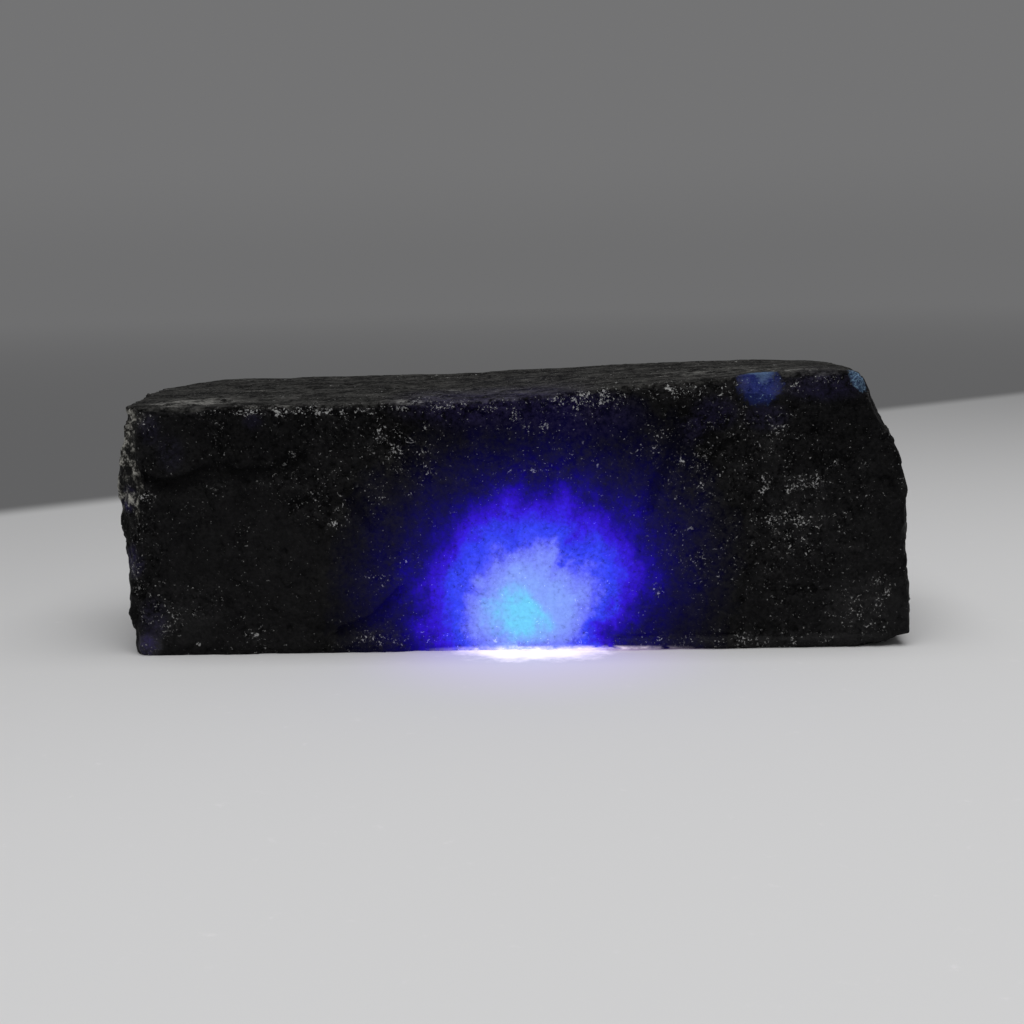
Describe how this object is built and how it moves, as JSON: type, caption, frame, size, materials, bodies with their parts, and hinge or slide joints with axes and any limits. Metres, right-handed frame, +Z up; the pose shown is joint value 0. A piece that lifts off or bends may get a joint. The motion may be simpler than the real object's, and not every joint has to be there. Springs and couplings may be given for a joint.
{
  "type": "rough sapphire",
  "caption": "Rough sapphire crystal sawn into a long dark block with broken ends, chipped edges and shallow flakes, resting on its sawn base.",
  "frame": {"origin": "middle of the footprint, on the surface that the sawn base stands on", "axes": "+X along the block towards the end with the broken-off upper corner, -Y out of the long side with the large flakes, +Z up"},
  "size_m": [0.0994, 0.0312, 0.0342],
  "materials": {
    "sapphire": "satin"
  },
  "bodies": {
    "root": {"rough_sapphire": "sapphire"}
  },
  "joints": []
}
